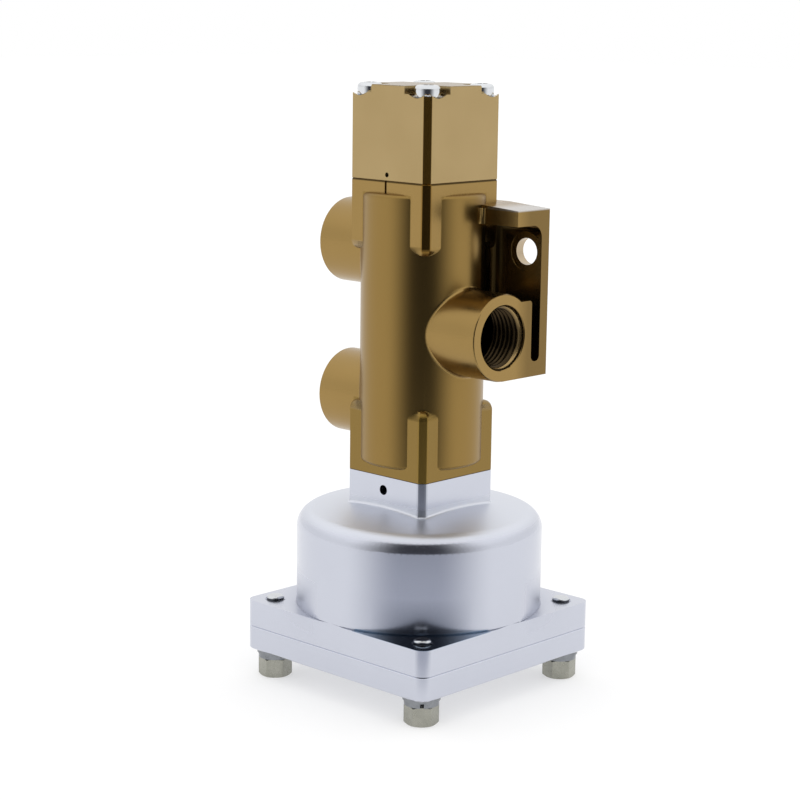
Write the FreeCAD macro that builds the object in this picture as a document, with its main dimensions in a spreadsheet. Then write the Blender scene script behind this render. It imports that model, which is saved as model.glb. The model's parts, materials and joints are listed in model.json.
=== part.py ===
"""Air-piloted, spring-return spool valve on a square diaphragm housing, in millimetres.

+Z is up, along the spool. The origin is on the spool's axis, level with the
underside of the four flange nuts. The single front port looks along +X and the
two rear ports along -X.
"""
import FreeCAD, Part
import math
import os
import Sketcher

doc = FreeCAD.newDocument("purge_valve")
sheet = doc.addObject("Spreadsheet::Sheet", "sizes")

sizes = {
    # square column ends, the cap and the neck
    "square_side": 36.0,
    "square_chamfer": 1.9,
    "edge_break": 0.4,
    "joint_break": 0.3,
    "slip": 0.05,
    # flange hardware, M6
    "stud_inset": 7.4,
    "stud_radius": 3.0,
    "stud_proud": 1.3,
    "stud_end_break": 0.7,
    "stud_hole_sink": 0.65,
    "nut_height": 6.7,
    "nut_flats": 10.0,
    "nut_end_gap": 0.3,
    "lock_thickness": 1.7,
    "lock_radius": 5.8,
    "lock_slit": 0.9,
    "washer_thickness": 1.4,
    "washer_radius": 6.3,
    # bottom cover
    "flange_lip": 0.3,
    "flange_corner": 4.1,
    "cover_thickness": 8.1,
    "recess_lip": 1.0,
    "pilot_radius": 4.86,
    "pilot_sink": 0.7,
    # diaphragm housing
    "flange_thickness": 9.2,
    "housing_height": 55.8,
    "drum_radius": 42.1,
    "drum_wall": 7.9,
    "drum_edge_height": 32.2,
    "drum_shoulder": 6.2,
    "drum_foot": 1.0,
    "dome_rise": 4.0,
    "dome_radius": 16.0,
    "ceiling_height": 26.9,
    "ceiling_fillet": 3.0,
    "neck_foot": 1.0,
    "neck_bore": 8.0,
    "neck_vent_radius": 1.7,
    "neck_vent_drop": 4.7,
    # diaphragm and its plates
    "sheet_thickness": 1.4,
    "bead_depth": 1.8,
    "bead_inset": 3.6,
    "bead_width": 2.4,
    "fold_gap": 0.6,
    "fold_radius": 3.6,
    "fold_height": 2.6,
    "plate_gap": 1.0,
    "plate_thickness": 3.0,
    "plate_rest_gap": 0.3,
    "hub_radius": 9.0,
    "hub_height": 3.0,
    "clamp_screw_radius": 3.0,
    "clamp_head_radius": 6.0,
    "clamp_screw_length": 18.0,
    "rod_radius": 5.0,
    # valve body
    "body_height": 99.0,
    "column_proud": 3.0,
    "column_round": 1.6,
    "top_border": 3.9,
    "bottom_border": 3.5,
    "top_land": 23.6,
    "bottom_land": 24.2,
    "land_round": 3.2,
    "mark_width": 0.9,
    "mark_depth": 0.6,
    "port_pitch": 26.45,
    "port_reach_front": 36.2,
    "port_reach_rear": 35.3,
    "boss_wall": 4.02,
    "boss_root": 1.6,
    "thread_radius": 10.48,
    "thread_length": 15.0,
    "mouth_sink": 0.5,
    "passage_step": 2.98,
    "body_bore": 11.0,
    # mounting bracket beside the front port
    "bracket_proud": 4.15,
    "bracket_wall": 3.75,
    "floor_lift": 0.05,
    "bracket_rise": 41.0,
    "bracket_fall": 1.1,
    "roof_thickness": 5.2,
    "roof_side": 6.2,
    "post_side": 14.2,
    "post_rise": 11.1,
    "slot_floor": 5.0,
    "bracket_tail": 8.0,
    "bracket_fillet": 4.4,
    "roof_fillet": 1.8,
    "bolt_hole_radius": 4.5,
    "bolt_hole_inset": 6.7,
    "bolt_hole_drop": 14.6,
    "bolt_face_radius": 6.7,
    "bolt_face_depth": 0.3,
    # spool and the packed bore
    "spool_radius": 6.0,
    "running": 0.08,
    "waist_depth": 2.4,
    "waist_low": 30.3,
    "waist_length": 29.5,
    "waist_slope": 1.5,
    "spool_tail": 6.0,
    "spool_proud": 1.8,
    "seal_height": 4.0,
    "seal_groove": 0.7,
    "cage_gap": 1.4,
    "cage_groove": 1.3,
    "cage_rim": 3.2,
    "cage_hole": 2.9,
    "ring_section": 1.0,
    "ring_inset": 1.9,
    "ring_squeeze": 0.3,
    # end cap, its screws and the return spring
    "cap_height": 31.2,
    "cap_roof": 5.0,
    "spring_bore": 10.0,
    "cap_vent_radius": 0.8,
    "cap_vent_rise": 2.1,
    "pocket_side": 10.5,
    "pocket_depth": 2.6,
    "pocket_corner": 4.0,
    "screw_inset": 5.0,
    "screw_radius": 2.5,
    "screw_play": 0.25,
    "head_radius": 4.25,
    "head_height": 5.0,
    "head_round": 1.6,
    "head_proud": 0.4,
    "head_play": 0.35,
    "seat_flare": 6.2,
    "hex_across": 4.0,
    "hex_depth": 2.6,
    "cap_screw_grip": 12.5,
    "housing_screw_grip": 12.0,
    "follower_gap": 1.0,
    "follower_height": 2.0,
    "follower_pin_gap": 1.3,
    "spring_gap": 1.5,
    "spring_wire": 0.9,
    "spring_turns": 5.5,
}

for row, (alias, value) in enumerate(sizes.items(), start=1):
    sheet.set(f"A{row}", alias.replace("_", " "))
    sheet.set(f"B{row}", str(value))
    sheet.setAlias(f"B{row}", alias)
doc.recompute()

nodes = {}


def s(alias):
    return "sizes." + alias


# heights of the joints, each worked out from the pieces below it
lock_low = s("nut_height")
washer_low = f"({lock_low} + {s('lock_thickness')})"
cover_low = f"({washer_low} + {s('washer_thickness')})"
housing_low = f"({cover_low} + {s('cover_thickness')})"
flange_top = f"({housing_low} + {s('flange_thickness')})"
neck_top = f"({housing_low} + {s('housing_height')})"
body_top = f"({neck_top} + {s('body_height')})"
cap_top = f"({body_top} + {s('cap_height')})"
ceiling = f"({flange_top} + {s('ceiling_height')})"
front_port = f"({neck_top} + {s('body_height')} / 2)"
upper_port = f"({front_port} + {s('port_pitch')})"
lower_port = f"({front_port} - {s('port_pitch')})"
half_square = f"({s('square_side')} / 2)"
half_flange = f"({s('drum_radius')} + {s('flange_lip')})"
stud_at = f"({half_flange} - {s('stud_inset')})"
screw_at = f"({half_square} - {s('screw_inset')})"
column_radius = f"({half_square} + {s('column_proud')})"
bracket_side = f"({half_square} + {s('bracket_proud')})"
boss_radius = f"({s('thread_radius')} + {s('boss_wall')})"
cavity_radius = f"({s('drum_radius')} - {s('drum_wall')})"
bead_middle = f"({cavity_radius} + {s('bead_inset')})"
recess_radius = f"({bead_middle} + {s('bead_width')} / 2 + {s('recess_lip')})"
fold_middle = f"({cavity_radius} - {s('fold_gap')} - {s('fold_radius')})"
plate_radius = f"({fold_middle} - {s('fold_radius')} - {s('plate_gap')})"
ring_middle = f"({s('body_bore')} + {s('ring_inset')})"
bracket_low = f"({front_port} - {boss_radius} + {s('floor_lift')})"
spring_radius = f"({s('spring_bore')} - {s('spring_gap')} - {s('spring_wire')})"
recess_floor = f"({housing_low} - {s('sheet_thickness')})"
plate_low = f"({recess_floor} + {s('plate_rest_gap')})"
sheet_low = f"({plate_low} + {s('plate_thickness')})"
sheet_top = f"({sheet_low} + {s('sheet_thickness')})"
hub_top = f"({sheet_top} + {s('plate_thickness')} + {s('hub_height')})"
spool_bottom = f"({neck_top} - {s('spool_tail')})"
spool_top = f"({body_top} + {s('spool_proud')})"
pocket_floor = f"({cap_top} - {s('pocket_depth')})"
cap_head_low = f"({cap_top} + {s('head_proud')} - {s('head_height')})"
spring_ceiling = f"({cap_top} - {s('cap_roof')})"
follower_top = f"({spool_top} + {s('follower_height')})"


probe = doc.addObject("Part::Cylinder", "probe")


def value(text):
    """The present number of an expression made of sheet cells."""
    probe.setExpression("Radius", text)
    doc.recompute()
    return probe.Radius.Value


def origin_part(body, role):
    return next(item for item in body.Origin.OriginFeatures if item.Role == role)


def new_body(label):
    body = doc.addObject("PartDesign::Body", label)
    body.Label = label
    return body


def new_sketch(body, plane, name, offset=None, across=None):
    sketch = body.newObject("Sketcher::SketchObject", name)
    sketch.AttachmentSupport = [(origin_part(body, plane), "")]
    sketch.MapMode = "FlatFace"
    if offset:
        sketch.setExpression(".AttachmentOffset.Base.z", offset)
    if across:
        sketch.setExpression(".AttachmentOffset.Base.x", across)
    return sketch


def fix_point(sketch, piece, end, across, up, start):
    """Holds one point of a sketch at two distances from the sketch's origin."""
    for kind, text, axis, guess in (("DistanceX", across, -2, start.x), ("DistanceY", up, -1, start.y)):
        if text == "0":
            sketch.addConstraint(Sketcher.Constraint("PointOnObject", piece, end, axis))
        else:
            number = sketch.addConstraint(Sketcher.Constraint(kind, -1, 1, piece, end, guess))
            sketch.setExpression(f"Constraints[{number}]", text)


def add_polygon(sketch, corners):
    """A closed outline of straight lines through the given corners, in order."""
    count = len(corners)
    first = sketch.GeometryCount
    turn = 2 * math.pi / count
    guess = [FreeCAD.Vector(20 + 5 * math.cos(turn * i), 20 + 5 * math.sin(turn * i), 0) for i in range(count)]
    for i in range(count):
        sketch.addGeometry(Part.LineSegment(guess[i], guess[(i + 1) % count]))
    for i in range(count):
        sketch.addConstraint(Sketcher.Constraint("Coincident", first + i, 2, first + (i + 1) % count, 1))
    for i, (across, up) in enumerate(corners):
        fix_point(sketch, first + i, 1, across, up, guess[i])


def add_circle(sketch, radius, across="0", up="0"):
    start = FreeCAD.Vector(3, 3, 0)
    piece = sketch.addGeometry(Part.Circle(start, FreeCAD.Vector(0, 0, 1), 2))
    number = sketch.addConstraint(Sketcher.Constraint("Radius", piece, 2))
    sketch.setExpression(f"Constraints[{number}]", radius)
    if across == "0" and up == "0":
        sketch.addConstraint(Sketcher.Constraint("Coincident", piece, 3, -1, 1))
    else:
        fix_point(sketch, piece, 3, across, up, start)


def rectangle(half_wide, half_deep=None):
    half_deep = half_deep or half_wide
    return [(f"-{half_wide}", f"-{half_deep}"), (half_wide, f"-{half_deep}"),
            (half_wide, half_deep), (f"-{half_wide}", half_deep)]


def chamfered_square():
    """The plan of the square ends: a square with its four corners cut at 45 degrees."""
    inner = f"({half_square} - {s('square_chamfer')})"
    return [(half_square, f"-{inner}"), (half_square, inner), (inner, half_square), (f"-{inner}", half_square),
            (f"-{half_square}", inner), (f"-{half_square}", f"-{inner}"), (f"-{inner}", f"-{half_square}"),
            (inner, f"-{half_square}")]


def feature(body, kind, name, sketch=None, **settings):
    item = body.newObject("PartDesign::" + kind, name)
    if sketch is not None:
        item.Profile = sketch
    for key, value in settings.items():
        if isinstance(value, str) and key in ("Length", "Radius", "Size"):
            item.setExpression(key, value)
        else:
            setattr(item, key, value)
    return item


def pad(body, name, sketch, length, **settings):
    return feature(body, "Pad", name, sketch, Length=length, **settings)


def pocket(body, name, sketch, length, **settings):
    return feature(body, "Pocket", name, sketch, Length=length, **settings)


def turn(body, kind, name, corners, across=None, offset=None):
    """A Revolution or a Groove of a profile given as (radius, height) corners."""
    sketch = new_sketch(body, "XZ_Plane", name + "_profile", offset, across)
    add_polygon(sketch, corners)
    item = feature(body, kind, name, sketch)
    item.ReferenceAxis = (sketch, ["V_Axis"])
    item.Angle = 360
    return item


def polar(body, name, originals, count=4, spin_axis="Z_Axis"):
    pattern = body.newObject("PartDesign::PolarPattern", name)
    pattern.Originals = originals
    pattern.Axis = (origin_part(body, spin_axis), [""])
    pattern.Angle = 360
    pattern.Occurrences = count
    body.Tip = pattern
    return pattern


def edges_of(item, test):
    doc.recompute()
    return [f"Edge{i}" for i, edge in enumerate(item.Shape.Edges, start=1) if test(edge)]


def round_edges(body, name, item, radius, test, kind="Fillet"):
    picked = edges_of(item, test)
    if not picked:
        raise RuntimeError(f"{name}: no edge found")
    edged = body.newObject("PartDesign::" + kind, name)
    edged.Base = (item, picked)
    edged.setExpression("Radius" if kind == "Fillet" else "Size", radius)
    body.Tip = edged
    return edged


def is_ring(radius, height, slack=0.01):
    """Picks round edges about the Z axis of one radius at one height."""
    def test(edge):
        curve = edge.Curve
        return (curve.TypeId == "Part::GeomCircle" and abs(curve.Radius - radius) < slack
                and abs(curve.Center.z - height) < slack and math.hypot(curve.Center.x, curve.Center.y) < slack)
    return test


def is_upright(length_over=0.0):
    def test(edge):
        box = edge.BoundBox
        return edge.Curve.TypeId == "Part::GeomLine" and box.XLength < 1e-4 and box.YLength < 1e-4 \
            and box.ZLength > length_over
    return test


def is_level(height, slack=0.01):
    def test(edge):
        return abs(edge.BoundBox.ZMin - height) < slack and abs(edge.BoundBox.ZMax - height) < slack
    return test


def primitive(kind, name, at=("0", "0", "0"), turned=None, **settings):
    item = doc.addObject(kind, name)
    if turned:
        axis, angle = turned
        item.Placement = FreeCAD.Placement(FreeCAD.Vector(), FreeCAD.Rotation(axis, angle))
    for key, text in settings.items():
        if isinstance(text, str):
            item.setExpression(key, text)
        else:
            setattr(item, key, text)
    for letter, text in zip("xyz", at):
        if text != "0":
            item.setExpression(f".Placement.Base.{letter}", text)
    return item


def combine(kind, name, first, second=None):
    """Part::Cut or Part::Common of two objects, or Part::MultiFuse of a list."""
    item = doc.addObject(kind, name)
    item.Label = name
    if second is None:
        item.Shapes = first
    else:
        item.Base = first
        item.Tool = second
    return item


def keep(label, item):
    item.Label = label
    nodes[label] = item


ALONG_X = (FreeCAD.Vector(0, 1, 0), 90)
ALONG_Y = (FreeCAD.Vector(1, 0, 0), -90)


def ring_piece(label, inner, outer, low, high):
    body = new_body(label)
    turn(body, "Revolution", label + "_turned", [(inner, low), (outer, low), (outer, high), (inner, high)])
    keep(label, body)
    return body


def make_flange_plate(body, name, low, thickness):
    """The square plate shape shared by the cover and the housing's flange."""
    outline = new_sketch(body, "XY_Plane", name + "_outline", low)
    add_polygon(outline, rectangle(half_flange))
    plate = pad(body, name, outline, thickness)
    return round_edges(body, name + "_corners", plate, s("flange_corner"), is_upright())


def make_bottom_cover():
    """Square plate with the diaphragm's recess and bead groove on top and the tapped pilot port below."""
    body = new_body("bottom_cover")
    plate = make_flange_plate(body, "cover_plate", cover_low, s("cover_thickness"))
    low, high = value(cover_low), value(housing_low)
    rim = round_edges(body, "cover_rim_low", plate, s("edge_break"), is_level(low), "Chamfer")
    round_edges(body, "cover_rim_high", rim, s("joint_break"), is_level(high), "Chamfer")
    bead_in = f"({bead_middle} - {s('bead_width')} / 2)"
    bead_out = f"({bead_middle} + {s('bead_width')} / 2)"
    bead_floor = f"({recess_floor} - {s('bead_depth')})"
    pilot_flare = f"({s('pilot_radius')} + {s('pilot_sink')})"
    turn(body, "Groove", "cover_recess", [
        ("0", recess_floor), (bead_in, recess_floor), (bead_in, bead_floor), (bead_out, bead_floor),
        (bead_out, recess_floor), (recess_radius, recess_floor), (recess_radius, housing_low),
        ("0", housing_low)])
    turn(body, "Groove", "pilot_port", [
        ("0", cover_low), (pilot_flare, cover_low), (s("pilot_radius"), f"{cover_low} + {s('pilot_sink')}"),
        (s("pilot_radius"), recess_floor), ("0", recess_floor)])
    hole = new_sketch(body, "XY_Plane", "cover_stud_hole", cover_low)
    add_circle(hole, f"{s('stud_radius')} + {s('screw_play')}", stud_at, f"-{stud_at}")
    drill = pocket(body, "cover_stud_drill", hole, s("cover_thickness"), Reversed=True)
    polar(body, "cover_stud_drills", [drill])
    keep("bottom_cover", body)


def make_housing():
    """Turned drum with a square flange and a square neck, hollow for the diaphragm."""
    body = new_body("diaphragm_housing")
    blank = f"({half_flange} * 1.5)"
    drum_edge = f"({flange_top} + {s('drum_edge_height')})"
    dome_top = f"({drum_edge} + {s('dome_rise')})"
    drum = turn(body, "Revolution", "drum", [
        ("0", housing_low), (blank, housing_low), (blank, flange_top), (s("drum_radius"), flange_top),
        (s("drum_radius"), drum_edge), (s("dome_radius"), dome_top), ("0", dome_top)])
    radius, edge_height, foot_height = value(s("drum_radius")), value(drum_edge), value(flange_top)
    shoulder = round_edges(body, "drum_shoulder_round", drum, s("drum_shoulder"), is_ring(radius, edge_height))
    round_edges(body, "drum_foot_fillet", shoulder, s("drum_foot"), is_ring(radius, foot_height))

    plan = new_sketch(body, "XY_Plane", "neck_plan", f"{ceiling} + {s('ceiling_fillet')}")
    add_polygon(plan, chamfered_square())
    neck = pad(body, "neck", plan, f"{neck_top} - {ceiling} - {s('ceiling_fillet')}")
    doc.recompute()
    half, top = value(half_square), value(neck_top)

    def is_neck_foot(edge):
        box = edge.BoundBox
        return edge_height - 2 < box.ZMin and box.ZMax < top - 4 and max(abs(box.XMin), abs(box.XMax)) < half + 0.1 \
            and max(abs(box.YMin), abs(box.YMax)) < half + 0.1
    round_edges(body, "neck_foot_fillet", neck, s("neck_foot"), is_neck_foot)

    trim = new_sketch(body, "XY_Plane", "flange_trim", housing_low)
    add_circle(trim, f"{blank} + 1")
    add_polygon(trim, rectangle(half_flange))
    trimmed = pocket(body, "flange_square", trim, f"{s('flange_thickness')} + {s('drum_foot')}", Reversed=True)
    flange_half = value(half_flange)

    def is_flange_corner(edge):
        box = edge.BoundBox
        return is_upright(5)(edge) and abs(abs(box.XMin) - flange_half) < 0.01 and abs(abs(box.YMin) - flange_half) < 0.01
    rounded = round_edges(body, "flange_corners", trimmed, s("flange_corner"), is_flange_corner)
    round_edges(body, "flange_rim", rounded, s("joint_break"), is_level(value(housing_low)), "Chamfer")

    cavity = cavity_radius
    hollow = turn(body, "Groove", "cavity", [
        ("0", housing_low), (cavity, housing_low), (cavity, ceiling), (s("neck_bore"), ceiling),
        (s("neck_bore"), neck_top), ("0", neck_top)])
    round_edges(body, "cavity_fillet", hollow, s("ceiling_fillet"), is_ring(value(cavity), value(ceiling)))

    vent = new_sketch(body, "XZ_Plane", "neck_vent", half_square)
    add_circle(vent, s("neck_vent_radius"), "0", f"{neck_top} - {s('neck_vent_drop')}")
    pocket(body, "neck_vent_drill", vent, f"{half_square} - {s('neck_bore')} + 1")

    bore = new_sketch(body, "XY_Plane", "housing_screw_hole", ceiling)
    add_circle(bore, f"{s('screw_radius')} + {s('screw_play')}", screw_at, f"-{screw_at}")
    drill = pocket(body, "housing_screw_drill", bore, f"{neck_top} - {ceiling}", Reversed=True)
    sink = new_sketch(body, "XY_Plane", "housing_screw_sink", ceiling)
    add_circle(sink, f"{s('head_radius')} + {s('head_play')}", screw_at, f"-{screw_at}")
    counterbore = pocket(body, "housing_screw_counterbore", sink, f"{s('head_height')} + {s('edge_break')}", Reversed=True)
    drills = polar(body, "housing_screw_drills", [drill])
    counterbores = polar(body, "housing_screw_counterbores", [counterbore])

    hole = new_sketch(body, "XY_Plane", "flange_stud_hole", housing_low)
    add_circle(hole, f"{s('stud_radius')} + {s('slip')}", stud_at, f"-{stud_at}")
    stud = pocket(body, "flange_stud_drill", hole, f"{s('flange_thickness')} + {s('drum_foot')}", Reversed=True)
    inner = f"({s('stud_radius')} + {s('slip')})"
    flare = f"({s('stud_radius')} + {s('stud_hole_sink')})"
    flare_low = f"({flange_top} - {s('stud_hole_sink')})"
    cone = turn(body, "Groove", "flange_stud_sink", [
        ("0", flare_low), (inner, flare_low), (flare, flange_top), ("0", flange_top)],
        across=stud_at, offset=stud_at)
    polar(body, "flange_stud_drills", [stud])
    polar(body, "flange_stud_sinks", [cone])
    keep("diaphragm_housing", body)


def make_stud_hardware():
    """Four studs up through the cover into the tapped flange, each with a washer, a split washer and a nut."""
    offset = stud_at
    radius, taper = s("stud_radius"), s("stud_end_break")
    stud_low, stud_high = s("nut_end_gap"), f"({flange_top} + {s('stud_proud')})"
    studs = new_body("flange_studs")
    one = turn(studs, "Revolution", "stud", [
        ("0", stud_low), (f"({radius} - {taper})", stud_low), (radius, f"{stud_low} + {taper}"),
        (radius, f"{stud_high} - {taper}"), (f"({radius} - {taper})", stud_high), ("0", stud_high)],
        across=offset, offset=offset)
    polar(studs, "stud_set", [one])
    keep("flange_studs", studs)

    clear = f"({radius} + {s('screw_play')})"
    washers = new_body("flat_washers")
    one = turn(washers, "Revolution", "flat_washer", [
        (clear, washer_low), (s("washer_radius"), washer_low), (s("washer_radius"), cover_low), (clear, cover_low)],
        across=offset, offset=offset)
    polar(washers, "flat_washer_set", [one])
    keep("flat_washers", washers)

    locks = new_body("lock_washers")
    ring = turn(locks, "Revolution", "lock_washer", [
        (clear, lock_low), (s("lock_radius"), lock_low), (s("lock_radius"), washer_low), (clear, washer_low)],
        across=offset, offset=offset)
    slit = new_sketch(locks, "XY_Plane", "lock_slit_plan", lock_low)
    near = f"({offset} + {radius} * 0.4)"
    far = f"({offset} + {s('lock_radius')})"
    half_slit = f"({s('lock_slit')} / 2)"
    add_polygon(slit, [
        (f"({near} - {half_slit})", f"-({near} + {half_slit})"), (f"({far} - {half_slit})", f"-({far} + {half_slit})"),
        (f"({far} + {half_slit})", f"-({far} - {half_slit})"), (f"({near} + {half_slit})", f"-({near} - {half_slit})")])
    cut = pocket(locks, "lock_slit", slit, s("lock_thickness"), Reversed=True)
    polar(locks, "lock_washer_set", [ring, cut])
    keep("lock_washers", locks)

    nuts = []
    for number, (along_x, along_y) in enumerate(((1, -1), (1, 1), (-1, 1), (-1, -1)), start=1):
        at = (f"{offset} * {along_x}", f"{offset} * {along_y}")
        hexagon = primitive("Part::Prism", f"nut_hexagon_{number}", (*at, "0"),
                            (FreeCAD.Vector(0, 0, 1), -15), Polygon=6,
                            Circumradius=f"{s('nut_flats')} / sqrt(3)", Height=s("nut_height"))
        low = primitive("Part::Cone", f"nut_low_bevel_{number}", (*at, "0"),
                        Radius1=f"{s('nut_flats')} / 2 * 0.96", Radius2=f"{s('nut_flats')} / 2 * 0.96 + {s('nut_height')} * 2",
                        Height=s("nut_height"))
        high = primitive("Part::Cone", f"nut_high_bevel_{number}", (*at, "0"),
                         Radius2=f"{s('nut_flats')} / 2 * 0.96", Radius1=f"{s('nut_flats')} / 2 * 0.96 + {s('nut_height')} * 2",
                         Height=s("nut_height"))
        bevelled = combine("Part::MultiCommon", f"nut_bevelled_{number}", [hexagon, low, high])
        bore = primitive("Part::Cylinder", f"nut_bore_{number}", (*at, "0"),
                         Radius=f"{radius} + {s('slip')}", Height=s("nut_height"))
        nuts.append(combine("Part::Cut", f"nut_{number}", bevelled, bore))
    group = doc.addObject("Part::Compound", "flange_nuts")
    group.Links = nuts
    keep("flange_nuts", group)


def make_diaphragm():
    """Rubber sheet with a bead at its rim and one round fold, clamped at its middle."""
    outer_leg = f"({fold_middle} + {s('fold_radius')})"
    inner_leg = f"({fold_middle} - {s('fold_radius')})"
    fold_centre = f"({housing_low} + {s('fold_height')})"
    inner_fold = f"({s('fold_radius')} - {s('sheet_thickness')})"
    bead_in = f"({bead_middle} - {s('bead_width')} / 2 + {s('slip')})"
    bead_out = f"({bead_middle} + {s('bead_width')} / 2 - {s('slip')})"
    bead_low = f"({recess_floor} - {s('bead_depth')} + {s('slip')})"
    sheet_out = f"({recess_radius} - {s('slip')})"
    rim = new_body("diaphragm_rim")
    turn(rim, "Revolution", "rim_profile", [
        (f"({outer_leg} - {s('sheet_thickness')})", recess_floor), (bead_in, recess_floor), (bead_in, bead_low),
        (bead_out, bead_low), (bead_out, recess_floor), (sheet_out, recess_floor), (sheet_out, housing_low),
        (outer_leg, housing_low), (outer_leg, fold_centre), (f"({outer_leg} - {s('sheet_thickness')})", fold_centre)])
    middle = new_body("diaphragm_middle")
    turn(middle, "Revolution", "middle_profile", [
        (f"({s('clamp_screw_radius')} + {s('slip')})", sheet_low),
        (f"({inner_leg} + {s('sheet_thickness')})", sheet_low),
        (f"({inner_leg} + {s('sheet_thickness')})", fold_centre), (inner_leg, fold_centre), (inner_leg, sheet_top),
        (f"({s('clamp_screw_radius')} + {s('slip')})", sheet_top)])
    fold = primitive("Part::Torus", "fold_outside", ("0", "0", fold_centre), Radius1=fold_middle,
                     Radius2=s("fold_radius"))
    hollow = primitive("Part::Torus", "fold_inside", ("0", "0", fold_centre), Radius1=fold_middle,
                       Radius2=inner_fold)
    whole = combine("Part::Cut", "fold_tube", fold, hollow)
    upper_half = primitive("Part::Cylinder", "fold_space", ("0", "0", fold_centre), Radius=recess_radius,
                           Height=f"{s('fold_radius')} * 2")
    bend = combine("Part::Common", "diaphragm_fold", whole, upper_half)
    keep("diaphragm", combine("Part::MultiFuse", "diaphragm_sheet", [rim, middle, bend]))


def make_plates():
    """The two plates that clamp the diaphragm's middle, the screw between them and the push rod."""
    screw, play = s("clamp_screw_radius"), s("slip")
    hole = f"({screw} + {play})"
    radius, corner = plate_radius, s("edge_break")
    head = f"({s('clamp_head_radius')} + {play})"
    lower = new_body("lower_plate")
    turn(lower, "Revolution", "lower_plate_turned", [
        (head, plate_low), (f"({radius} - {corner})", plate_low), (radius, f"{plate_low} + {corner}"),
        (radius, sheet_low), (hole, sheet_low), (hole, f"{plate_low} + {head} - {hole}")])
    keep("lower_plate", lower)
    upper = new_body("upper_plate")
    flat_top = f"({sheet_top} + {s('plate_thickness')})"
    turn(upper, "Revolution", "upper_plate_turned", [
        (hole, sheet_top), (radius, sheet_top), (radius, f"{flat_top} - {corner}"),
        (f"({radius} - {corner})", flat_top), (s("hub_radius"), flat_top), (s("hub_radius"), hub_top), (hole, hub_top)])
    keep("upper_plate", upper)
    clamp = new_body("clamp_screw")
    turn(clamp, "Revolution", "clamp_screw_turned", [
        ("0", plate_low), (s("clamp_head_radius"), plate_low),
        (screw, f"{plate_low} + {s('clamp_head_radius')} - {screw}"),
        (screw, f"{plate_low} + {s('clamp_screw_length')}"), ("0", f"{plate_low} + {s('clamp_screw_length')}")])
    plan = new_sketch(clamp, "XY_Plane", "clamp_hex_plan", plate_low)
    add_polygon(plan, hexagon_corners(s("hex_across")))
    pocket(clamp, "clamp_hex", plan, f"{s('hex_depth')} - 0.4", Reversed=True)
    keep("clamp_screw", clamp)
    rod = new_body("push_rod")
    tapped_top = f"({plate_low} + {s('clamp_screw_length')} + 1)"
    turn(rod, "Revolution", "push_rod_turned", [
        (hole, hub_top), (f"({s('rod_radius')} - {corner})", hub_top), (s("rod_radius"), f"{hub_top} + {corner}"),
        (s("rod_radius"), spool_bottom), ("0", spool_bottom), ("0", tapped_top), (hole, tapped_top)])
    keep("push_rod", rod)


def hexagon_corners(across, centre_x="0", centre_y="0"):
    """Corners of a hexagon, given across its flats, with two corners along X."""
    corner = f"({across} / sqrt(3))"
    half = f"({across} / 2)"
    plan = [(corner, None), (f"{corner} / 2", half), (f"-{corner} / 2", half), (f"-{corner}", None),
            (f"-{corner} / 2", f"-{half}"), (f"{corner} / 2", f"-{half}")]
    return [(x if centre_x == "0" else f"{centre_x} + {x}",
             (y or "0") if centre_y == "0" else (f"{centre_y} + {y}" if y else centre_y)) for x, y in plan]


def make_column():
    """The round column with its three port bosses, filleted where they meet."""
    body = new_body("column")
    low, high = f"({neck_top} + {s('bottom_border')})", f"({body_top} - {s('top_border')})"
    turned = turn(body, "Revolution", "column_turned", [
        ("0", low), (column_radius, low), (column_radius, high), ("0", high)])
    low_end, high_end = value(low), value(high)

    def is_column_end(edge):
        box = edge.BoundBox
        flat = abs(box.ZMax - box.ZMin) < 0.01
        return flat and box.XLength > 30 and (abs(box.ZMin - low_end) < 0.01 or abs(box.ZMin - high_end) < 0.01)
    round_edges(body, "column_ends", turned, s("column_round"), is_column_end)
    for name, height, length, backwards in (("front_boss", front_port, s("port_reach_front"), False),
                                            ("upper_boss", upper_port, s("port_reach_rear"), True),
                                            ("lower_boss", lower_port, s("port_reach_rear"), True)):
        plan = new_sketch(body, "YZ_Plane", name + "_plan")
        add_circle(plan, boss_radius, "0", height)
        boss = pad(body, name, plan, length, Reversed=backwards)
    doc.recompute()
    face_limit = value(s("port_reach_rear")) - 5

    def is_root(edge):
        curve = edge.Curve
        box = edge.BoundBox
        outside = box.XMax < face_limit and box.XMin > -face_limit
        return outside and curve.TypeId not in ("Part::GeomCircle", "Part::GeomLine")
    root = round_edges(body, "boss_roots", boss, s("boss_root"), is_root)
    front, rear = value(s("port_reach_front")), value(s("port_reach_rear"))

    def is_boss_face(edge):
        box = edge.BoundBox
        return edge.Curve.TypeId == "Part::GeomCircle" and box.XLength < 0.01 and \
            (abs(box.XMax - front) < 0.01 or abs(box.XMin + rear) < 0.01)
    round_edges(body, "boss_rims", root, s("edge_break"), is_boss_face, "Chamfer")
    return body


def make_land_block(name, start, length, upwards, round_at):
    """Square block whose inner end is rounded: its corners stand past the round column as four lands."""
    body = new_body(name)
    plan = new_sketch(body, "XY_Plane", name + "_plan", start)
    add_polygon(plan, chamfered_square())
    block = pad(body, name + "_pad", plan, length, Reversed=not upwards)
    block = round_edges(body, name + "_nose", block, s("land_round"), is_level(round_at))
    joint = value(start)
    round_edges(body, name + "_joint_edge", block, s("joint_break"), is_level(joint), "Chamfer")
    return body


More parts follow.
